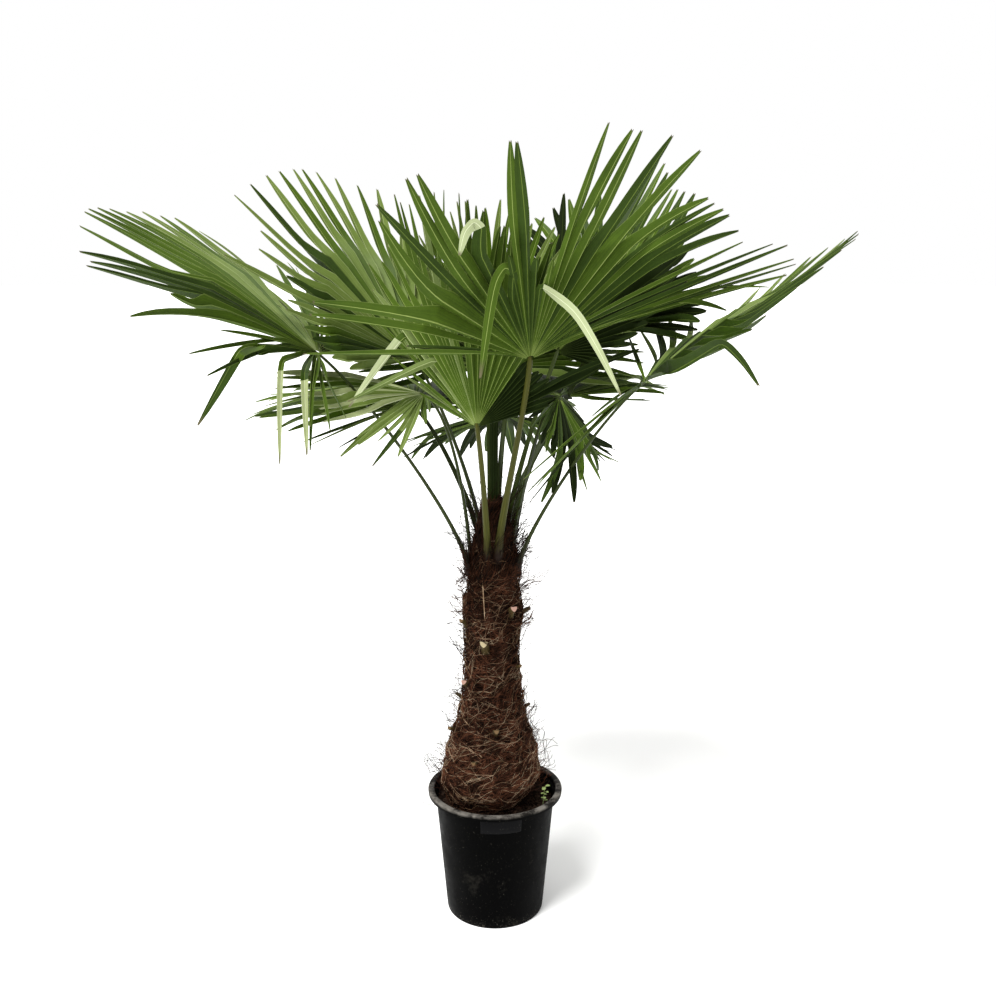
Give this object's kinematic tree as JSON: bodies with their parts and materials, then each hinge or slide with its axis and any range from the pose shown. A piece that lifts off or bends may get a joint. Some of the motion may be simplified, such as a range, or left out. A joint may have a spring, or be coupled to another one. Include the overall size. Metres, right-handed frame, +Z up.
{
  "type": "potted windmill palm",
  "caption": "Fan palm with a fibre-covered upright stem and a head of stiff pleated fan fronds, standing in a round black nursery pot.",
  "frame": {"origin": "centre of the pot's flat underside, on the ground", "axes": "+Z up along the stem; +X to the plant's right and +Y to its back, as seen from its front"},
  "size_m": [1.8422, 1.5252, 2.0497],
  "materials": {
    "pot": "matt black moulded plastic, worn grey at the rim",
    "compost": "dark damp bark compost",
    "trunk": "dark brown matted fibre",
    "stalk": "satin green",
    "blade": "leathery satin green, paler underneath"
  },
  "bodies": {
    "root": {"pot": "pot", "tab_front": "pot", "tab_back": "pot", "soil": "compost", "trunk": "trunk", "spear": "stalk", "stalk_front_high": "stalk", "blade_front_high": "blade", "stalk_front_centre": "stalk", "blade_front_centre": "blade", "stalk_far_left": "stalk", "blade_far_left": "blade", "stalk_far_right": "stalk", "blade_far_right": "blade", "stalk_left_high": "stalk", "blade_left_high": "blade", "stalk_right_high": "stalk", "blade_right_high": "blade", "stalk_left_low": "stalk", "blade_left_low": "blade", "stalk_right_low": "stalk", "blade_right_low": "blade", "stalk_back_right_high": "stalk", "blade_back_right_high": "blade", "stalk_back_high": "stalk", "blade_back_high": "blade", "stalk_back_left": "stalk", "blade_back_left": "blade", "stalk_back_right": "stalk", "blade_back_right": "blade", "stalk_back_low": "stalk", "blade_back_low": "blade", "stalk_heart": "stalk", "blade_heart": "blade"}
  },
  "joints": []
}
